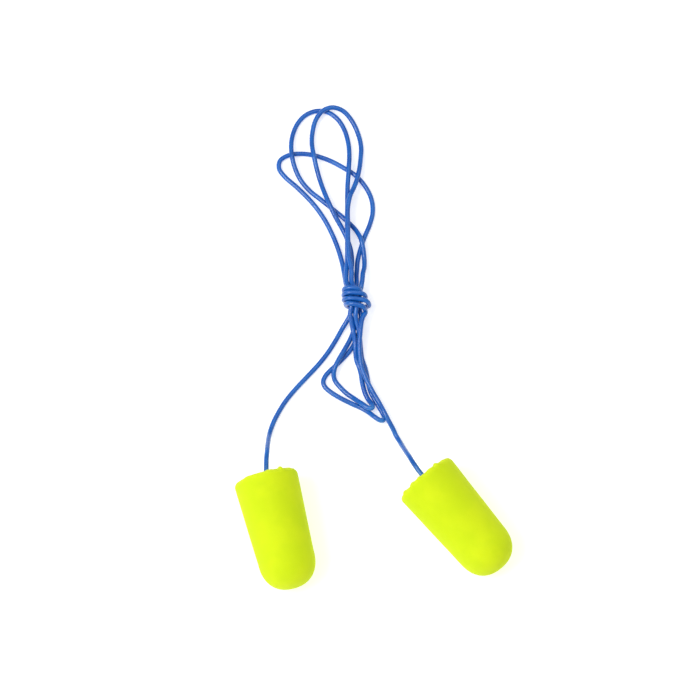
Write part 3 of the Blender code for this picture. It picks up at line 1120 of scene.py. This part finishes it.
@dataclass(frozen=True)
class Hank:
    """The whole cord: one line from bore to bore, folded to and fro and tied at its waist.

    Its routes are in millimetres. A route runs from the plug or the knot at one end to the
    knot at the other, and the lower and upper loops keep the order in which the cord takes them.
    """

    radius: float = 0.5 * MM
    spacing: float = 0.36 * MM
    sides: int = 24
    straight_out: float = 1.4 * MM
    glued: float = 8.7 * MM
    glued_middle: float = 0.6
    side_pull: float = 0.27 * MM
    pull_from: float = 2.6 * MM
    pull_outside: float = 2.3
    fine_steps: int = 12
    apart: float = 2.02
    own_length: float = 2.6 * MM
    ease: float = 4.0 * MM
    rounds: int = 90
    rounds_a_search: int = 10
    bend_reach: int = 3
    way_reach: int = 6
    left_cut: int = 11
    right_cut: int = 12
    knot: Knot = Knot()
    left_lead: tuple[Point, ...] = (
        (-21.1, 13.2, 6.3), (-21.0, 14.9, 5.5), (-20.95, 16.4, 4.2), (-20.85, 17.9, 2.7),
        (-20.7, 19.3, 1.4), (-20.4, 20.7, 0.7), (-19.75, 22.5, 0.5), (-18.8, 24.4, 0.5),
        (-17.4, 26.7, 0.5), (-15.4, 29.2, 0.5), (-13.1, 31.75, 0.5), (-10.85, 34.25, 0.5),
        (-8.9, 36.8, 0.5), (-7.3, 39.4, 0.5), (-5.9, 41.9, 0.65), (-4.9, 43.4, 1.2),
    )
    right_lead: tuple[Point, ...] = (
        (8.2, 12.55, 6.25), (7.5, 13.95, 5.4), (6.9, 15.2, 4.1), (6.4, 16.35, 2.7),
        (5.9, 17.5, 1.5), (5.35, 18.6, 0.85), (4.85, 19.5, 0.75), (4.35, 20.6, 1.05),
        (3.5, 22.1, 1.6), (2.7, 23.6, 1.95), (1.6, 25.8, 1.75), (0.2, 28.3, 1.65),
        (-1.0, 30.7, 1.6), (-2.0, 33.3, 1.65), (-2.4, 35.9, 1.85), (-2.45, 38.5, 2.45),
        (-2.25, 41.0, 2.88), (-2.02, 42.8, 2.98),
    )
    wide_loop: tuple[Point, ...] = (
        (-5.5, 53.0, 1.0), (-5.95, 55.6, 0.5), (-6.9, 59.0, 0.5), (-8.2, 62.3, 0.5),
        (-9.9, 65.6, 0.5), (-12.1, 68.7, 0.5), (-15.2, 72.0, 0.5), (-18.0, 74.6, 0.5),
        (-19.1, 76.3, 0.5), (-18.9, 78.0, 0.5), (-17.3, 79.1, 0.5), (-14.8, 79.5, 0.5),
        (-12.1, 79.2, 0.5), (-8.8, 78.1, 0.5), (-5.7, 76.4, 0.5), (-3.3, 74.8, 0.5),
        (-1.2, 72.3, 0.5), (0.0, 69.7, 0.5), (0.3, 66.9, 0.5), (-0.3, 64.2, 0.5),
        (-1.4, 61.4, 0.5), (-2.25, 58.8, 0.5), (-2.85, 56.2, 0.5), (-2.98, 54.6, 0.6),
        (-3.1, 53.0, 0.95),
    )
    left_loop: tuple[Point, ...] = (
        (-5.2, 53.2, 2.35), (-4.95, 56.4, 1.6), (-4.95, 60.0, 1.6), (-4.95, 64.0, 1.6),
        (-4.95, 68.0, 1.6), (-4.9, 72.0, 1.6), (-4.65, 76.0, 1.65), (-4.55, 79.2, 1.2),
        (-4.8, 82.0, 0.6), (-5.6, 84.8, 0.5), (-7.0, 87.1, 0.5), (-9.0, 88.6, 0.5),
        (-11.3, 88.9, 0.5), (-13.6, 88.0, 0.5), (-15.3, 86.1, 0.5), (-16.3, 83.5, 0.8),
        (-16.6, 81.0, 1.3), (-16.4, 78.6, 1.6), (-15.8, 76.2, 1.2), (-14.6, 73.7, 0.7),
        (-12.7, 71.4, 0.5), (-10.3, 69.4, 0.5), (-8.0, 67.5, 0.5), (-5.6, 65.4, 0.5),
        (-3.7, 63.5, 0.6), (-2.85, 62.2, 1.1), (-2.2, 60.8, 1.6), (-1.75, 59.0, 1.5),
        (-1.45, 56.4, 1.1), (-1.47, 54.6, 1.45), (-1.75, 53.2, 2.1),
    )
    right_loop: tuple[Point, ...] = (
        (-4.1, 53.2, 2.75), (-4.3, 54.8, 2.75), (-4.6, 56.4, 2.65), (-4.8, 60.0, 2.65),
        (-4.85, 64.0, 2.65), (-4.85, 67.0, 2.65), (-4.4, 69.6, 2.58), (-3.62, 71.6, 2.0),
        (-3.0, 73.4, 1.65), (-2.5, 75.6, 1.6), (-2.2, 78.2, 1.1), (-2.1, 81.0, 0.6),
        (-2.7, 83.8, 0.5), (-4.0, 86.6, 0.8), (-5.8, 88.6, 1.3), (-8.0, 89.3, 1.6),
        (-10.0, 88.6, 1.6), (-11.5, 86.7, 1.2), (-12.2, 84.0, 0.9), (-12.3, 81.4, 1.35),
        (-11.9, 78.8, 1.8), (-11.3, 76.0, 1.45), (-10.5, 73.2, 1.1), (-9.6, 70.6, 1.4),
        (-8.5, 67.9, 1.65), (-7.3, 65.4, 1.3), (-5.95, 63.1, 0.6), (-4.9, 60.8, 0.5),
        (-4.2, 58.4, 0.5), (-4.02, 56.0, 0.5), (-4.12, 54.6, 0.8), (-4.15, 53.2, 1.2),
    )
    outer_loop: tuple[Point, ...] = (
        (-2.35, 43.0, 0.95), (-2.55, 41.2, 0.5), (-3.05, 39.8, 0.5), (-3.75, 38.2, 0.5),
        (-4.65, 36.9, 0.5), (-5.65, 35.75, 0.5), (-7.0, 34.35, 0.5), (-8.5, 32.95, 0.5),
        (-9.45, 31.8, 0.5), (-9.85, 30.6, 0.5), (-9.45, 29.55, 0.5), (-8.5, 28.65, 0.5),
        (-7.2, 27.75, 0.5), (-5.7, 26.9, 0.5), (-3.9, 26.0, 0.5), (-2.1, 25.15, 0.6),
        (-0.55, 24.1, 1.0), (0.7, 23.0, 1.5), (1.65, 22.4, 1.55), (2.35, 22.5, 1.1),
        (2.5, 23.3, 0.6), (2.1, 24.3, 0.5), (1.5, 25.35, 0.5), (0.62, 26.9, 0.5),
        (-0.2, 28.6, 0.5), (-0.65, 30.3, 0.5), (-0.93, 31.9, 0.5), (-1.32, 33.6, 0.5),
        (-1.95, 35.5, 0.55), (-2.2, 37.3, 0.85), (-2.35, 39.0, 1.25), (-2.62, 41.2, 1.75),
        (-3.1, 42.8, 2.2),
    )
    inner_loop: tuple[Point, ...] = (
        (-3.4, 43.0, 0.98), (-3.75, 41.2, 0.65), (-4.28, 39.7, 0.8), (-4.95, 38.3, 1.05),
        (-5.65, 36.95, 1.4), (-6.3, 35.75, 1.7), (-6.95, 34.5, 1.75), (-7.45, 33.4, 1.55),
        (-7.7, 32.3, 1.15), (-7.6, 31.3, 0.7), (-7.2, 30.5, 0.5), (-6.5, 29.65, 0.5),
        (-5.7, 28.8, 0.5), (-4.8, 28.0, 0.5), (-3.75, 27.25, 0.7), (-2.8, 26.45, 1.15),
        (-1.75, 25.65, 1.6), (-0.85, 24.95, 1.8), (-0.1, 24.8, 1.75), (0.2, 25.35, 1.3),
        (-0.2, 26.2, 0.75), (-0.8, 27.1, 0.5), (-1.35, 28.3, 0.5), (-1.7, 29.5, 0.5),
        (-2.0, 31.0, 0.5), (-2.15, 32.2, 0.5), (-2.5, 33.6, 0.5), (-3.08, 35.2, 0.65),
        (-3.25, 36.8, 1.25), (-3.35, 38.4, 1.7), (-3.75, 41.2, 1.75), (-4.08, 42.9, 2.3),
    )

    def end_points(self, plug: FoamPlug) -> list[Vector]:
        """Carry the cord from the bottom of a plug's bore to outside it.

        Above the adhesive the left cord leans on the side of the bore that the hank pulls it to.

        Args:
            plug: the plug.

        Returns:
            Points in metres, the deepest first.
        """
        place = plug.place()
        pull = self.side_pull if plug.side is Side.LEFT else 0.0
        spots = (
            (self.glued, 0.0),
            (self.glued * self.glued_middle, 0.0),
            (self.pull_from, 0.0),
            (0.0, pull),
            (-self.straight_out, pull * self.pull_outside),
        )
        return [place @ Vector((along, across, 0.0)) for along, across in spots]

    def control(self, left: FoamPlug, right: FoamPlug) -> tuple[list[Vector], list[int]]:
        """String the whole cord through its points.

        Args:
            left: the left plug.
            right: the right plug.

        Returns:
            The points in metres and the places of the four cuts among them.
        """
        knot = self.knot
        chain = self.end_points(left)
        cuts = []

        def string(*parts: list[Point] | tuple[Point, ...]) -> None:
            """Add points given in millimetres."""
            chain.extend(Vector(point) * MM for part in parts for point in part)

        string(self.left_lead[: self.left_cut])
        cuts.append(len(chain) - 1)
        string(self.left_lead[self.left_cut :], knot.strand(Face.LOWER, -1, 0))
        string(knot.waist(Slot.LOW_LEFT, Face.UPPER), knot.strand(Face.UPPER, -1, 0), self.wide_loop)
        string(knot.strand(Face.UPPER, 1, 0), knot.waist(Slot.LOW_RIGHT, Face.LOWER))
        cuts.append(len(chain) - 2)
        string(knot.strand(Face.LOWER, 1, 0), self.outer_loop, knot.strand(Face.LOWER, 0, 1))
        string(knot.waist(Slot.TOP_RIGHT, Face.UPPER), knot.strand(Face.UPPER, 0, 1), self.right_loop)
        string(knot.strand(Face.UPPER, 0, 0), knot.waist(Slot.CORE, Face.LOWER))
        string(knot.strand(Face.LOWER, 0, 0), self.inner_loop, knot.strand(Face.LOWER, -1, 1))
        string(knot.waist(Slot.TOP_LEFT, Face.UPPER))
        cuts.append(len(chain) - 2)
        string(knot.strand(Face.UPPER, -1, 1), self.left_loop, knot.turns())
        string(self.right_lead[: self.right_cut - 1 : -1])
        cuts.append(len(chain))
        string(self.right_lead[self.right_cut - 1 :: -1])
        chain += self.end_points(right)[::-1]
        return chain, cuts

    def gone(self, line: np.ndarray) -> np.ndarray:
        """Return the length of a line up to each of its points."""
        return np.concatenate([[0.0], np.cumsum(np.linalg.norm(np.diff(line, axis=0), axis=1))])

    def smooth(self, chain: list[Vector], cuts: list[int]) -> tuple[np.ndarray, list[int]]:
        """Draw a centripetal curve through the points and space it evenly.

        Args:
            chain: the points it goes through.
            cuts: places of the cuts among them.

        Returns:
            The even line and the places of its ends and cuts.
        """
        ends = [chain[0] * 2 - chain[1], *chain, chain[-1] * 2 - chain[-2]]
        p = np.array([tuple(point) for point in ends])
        fine = []
        for p0, p1, p2, p3 in zip(p, p[1:], p[2:], p[3:]):
            t1 = math.sqrt(np.linalg.norm(p1 - p0))
            t2 = t1 + math.sqrt(np.linalg.norm(p2 - p1))
            t3 = t2 + math.sqrt(np.linalg.norm(p3 - p2))
            for step in range(self.fine_steps):
                t = t1 + (t2 - t1) * step / self.fine_steps
                a1 = p0 + (p1 - p0) * (t / t1)
                a2 = p1 + (p2 - p1) * ((t - t1) / (t2 - t1))
                a3 = p2 + (p3 - p2) * ((t - t2) / (t3 - t2))
                b1 = a1 + (a2 - a1) * (t / t2)
                b2 = a2 + (a3 - a2) * ((t - t1) / (t3 - t1))
                fine.append(b1 + (b2 - b1) * ((t - t1) / (t2 - t1)))
        fine.append(p[-2])
        line = np.array(fine)
        gone = self.gone(line)
        marks = [0, *(cut * self.fine_steps for cut in cuts), len(line) - 1]
        pieces = [line[:1]]
        places = [0]
        for first, last in zip(marks, marks[1:]):
            count = max(2, round((gone[last] - gone[first]) / self.spacing))
            wanted = np.linspace(gone[first], gone[last], count + 1)[1:]
            pieces.append(np.stack([np.interp(wanted, gone, line[:, k]) for k in range(3)], axis=1))
            places.append(places[-1] + count)
        return np.concatenate(pieces), places

    def settle(self, line: np.ndarray) -> np.ndarray:
        """Let the strands push each other apart, for a set number of rounds.

        The push on each point is spread along the cord, and the glued ends stay where they are.

        Args:
            line: the cord's even line.

        Returns:
            The settled line.
        """
        apart = self.apart * self.radius
        gone = self.gone(line)
        held = self.glued + self.straight_out
        free = np.clip((np.minimum(gone, gone[-1] - gone) - held) / self.ease, 0.0, 1.0)[:, None]
        shift = np.zeros_like(line)
        home = line.copy()
        home[:, 2] = np.maximum(home[:, 2], self.radius)
        for round_number in range(self.rounds):
            here = home + shift
            if round_number % self.rounds_a_search == 0:
                gap = np.linalg.norm(here[:, None, :] - here[None, :, :], axis=2)
                other = np.abs(gone[:, None] - gone[None, :]) > self.own_length
                i, j = np.nonzero(np.triu((gap < 2.0 * apart) & other))
            between = here[i] - here[j]
            distance = np.maximum(np.linalg.norm(between, axis=1), 1e-9)
            push = between / distance[:, None] * (np.maximum(apart - distance, 0.0) * 0.5)[:, None]
            hit = (distance < apart).astype(float)[:, None]
            add = np.zeros_like(line)
            count = np.ones((len(line), 1))
            for place, way in ((i, 1.0), (j, -1.0)):
                np.add.at(add, place, push * way)
                np.add.at(count, place, hit)
            shift = shift + add / np.maximum(count - 1.0, 1.0)
            for _ in range(2):
                padded = np.pad(shift, ((1, 1), (0, 0)), mode="edge")
                shift = padded[:-2] * 0.25 + padded[1:-1] * 0.5 + padded[2:] * 0.25
            shift = shift * free
            shift[:, 2] += np.maximum(self.radius - (home + shift)[:, 2], 0.0)
        return home + shift

    def bend(self, line: np.ndarray) -> np.ndarray:
        """Measure how hard the cord is bent, as its radius over the bend's.

        Args:
            line: the cord's line.

        Returns:
            The share at each point.
        """
        reach = self.bend_reach
        before = line[reach:-reach] - line[: -2 * reach]
        after = line[2 * reach :] - line[reach:-reach]
        lengths = np.linalg.norm(before, axis=1), np.linalg.norm(after, axis=1)
        cosine = np.einsum("ij,ij->i", before, after) / (lengths[0] * lengths[1])
        turn = np.arccos(np.clip(cosine, -1.0, 1.0))
        return np.pad(self.radius * turn / ((lengths[0] + lengths[1]) / 2), reach, mode="edge")

    def build(
        self,
        left: FoamPlug,
        right: FoamPlug,
        joints: dict[str, Vector],
        tree: Tree,
        finish: Material,
    ) -> list[Object]:
        """Build the five lengths of the cord.

        Args:
            left: the left plug.
            right: the right plug.
            joints: where each joint turns.
            tree: the cord's tree.
            finish: the cord's material.

        Returns:
            The lengths, in order along the cord.
        """
        line, places = self.smooth(*self.control(left, right))
        line = self.settle(line)
        numbers = {"along": self.gone(line), "bend": self.bend(line)}
        made = []
        for run, first, last in zip(RUNS, places, places[1:]):
            part = slice(first, last + 1)
            item = line_object(run.name, line[part], {key: value[part] for key, value in numbers.items()})
            run_tree(item, tree, {"Radius": self.radius, "Sides": self.sides, "Finish": finish})
            facing_out(item.data)
            self.lay(item, run, line[part], joints)
            made.append(item)
        LOG.info("cord: %.1f mm from end to end", numbers["along"][-1] / MM)
        return made

    def lay(self, item: Object, run: CordRun, line: np.ndarray, joints: dict[str, Vector]) -> None:
        """Args:
            item: the length.
            run: which length it is.
            line: its centreline.
            joints: where each joint turns.
        """
        from_hank = run.bodies[0] == "hank"
        if run.joint is None:
            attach(item, run.bodies[0])
        else:
            pivot = joints[run.joint]
            near = int(np.argmin(np.linalg.norm(line - np.array(pivot), axis=1)))
            behind, ahead = max(0, near - self.way_reach), min(len(line) - 1, near + self.way_reach)
            way = Vector(line[ahead] - line[behind]).normalized()
            if (way.y > 0.0) == from_hank:
                way = -way
            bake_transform(item)
        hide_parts(*run.replaces)


# ----------------------------------------------------------------- the studio


@dataclass(frozen=True)
class SoftLamp:
    """One large square lamp that shines at the object."""

    name: str
    where: Point
    size: float
    power: float


@dataclass(frozen=True)
class Studio:
    """White floor, soft lamps and a camera that looks down on the object."""

    aim: Point = (-4.4 * MM, 37.5 * MM, 0.0)
    distance: float = 0.6
    elevation: float = math.radians(75.0)
    lens: float = 151.3
    sensor: float = 36.0
    nearest: float = 0.01
    farthest: float = 20.0
    floor_reach: float = 3.0
    sky: float = 0.36
    lamps: tuple[SoftLamp, ...] = (
        SoftLamp("key_lamp", (-0.60, -0.10, 1.00), 0.50, 6.0),
        SoftLamp("side_lamp", (-0.80, -0.60, 0.60), 0.60, 2.0),
        SoftLamp("overhead_lamp", (0.15, 0.25, 1.10), 1.20, 4.0),
    )

    def build_camera(self) -> None:
        """Stand the camera."""
        data = bpy.data.cameras.new("camera")
        data.sensor_width = self.sensor
        data.lens = self.lens
        data.clip_start = self.nearest
        data.clip_end = self.farthest
        camera = link(bpy.data.objects.new("camera", data))
        back = Vector((0.0, -math.cos(self.elevation), math.sin(self.elevation)))
        camera.location = Vector(self.aim) + back * self.distance
        camera.rotation_euler = (math.pi / 2 - self.elevation, 0.0, 0.0)
        bpy.context.scene.camera = camera

    def build_floor(self, finish: Material) -> None:
        """Lay the floor.

        Args:
            finish: its material.
        """
        mesh = bpy.data.meshes.new("floor")
        r = self.floor_reach
        mesh.from_pydata([(-r, -r, 0.0), (r, -r, 0.0), (r, r, 0.0), (-r, r, 0.0)], [], [(0, 1, 2, 3)])
        mesh.materials.append(finish)
        link(bpy.data.objects.new("floor", mesh))

    def build_lamps(self) -> None:
        """Hang the lamps and light the sky."""
        aim = Vector(self.aim)
        for lamp in self.lamps:
            data = bpy.data.lights.new(lamp.name, "AREA")
            data.shape = "SQUARE"
            data.size = lamp.size
            data.energy = lamp.power
            item = link(bpy.data.objects.new(lamp.name, data))
            item.location = lamp.where
            item.rotation_euler = (aim - Vector(lamp.where)).to_track_quat("-Z", "Y").to_euler()
        world = bpy.data.worlds.new("studio")
        world.use_nodes = True
        background = world.node_tree.nodes["Background"]
        background.inputs["Color"].default_value = WHITE
        background.inputs["Strength"].default_value = self.sky
        bpy.context.scene.world = world

    def build(self) -> None:
        """Set up everything round the object."""
        self.build_camera()
        self.build_floor(FloorFinish().material())
        self.build_lamps()
        bpy.context.scene.view_settings.view_transform = "Standard"


def joint_places(frame: dict) -> dict[str, Vector]:
    """Return where each joint of the loaded frame turns, by name."""
    return {joint["name"]: Vector(joint["pos_m"]) for joint in frame["joints"]}


def main() -> None:
    """Build the ear plugs, their cord and the studio."""
    logging.basicConfig(level=logging.INFO, format="%(name)s: %(message)s")
    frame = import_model()
    Studio().build()
    left = FoamPlug(
        Side.LEFT,
        exit_x=-21.35 * MM,
        exit_y=9.80 * MM,
        heading=math.radians(-75.5),
        seed=0.31,
        longer=-0.3 * MM,
        tears=LEFT_TEARS,
    )
    right = FoamPlug(
        Side.RIGHT,
        exit_x=10.35 * MM,
        exit_y=9.55 * MM,
        heading=math.radians(-50.0),
        seed=0.87,
        longer=0.2 * MM,
        tears=RIGHT_TEARS,
    )
    hank = Hank()
    made = hank.build(left, right, joint_places(frame), cord_tree(), CordFinish().material())
    turning = turned_tree()
    foam = FoamFinish().material()
    adhesive = AdhesiveFinish().material()
    for plug in (left, right):
        made += [plug.build_foam(turning, foam), plug.build_adhesive(turning, adhesive, hank.radius)]
    for item in made:
        LOG.info("%s: %d faces", item.name, len(item.data.polygons))


if __name__ == "__main__":
    main()
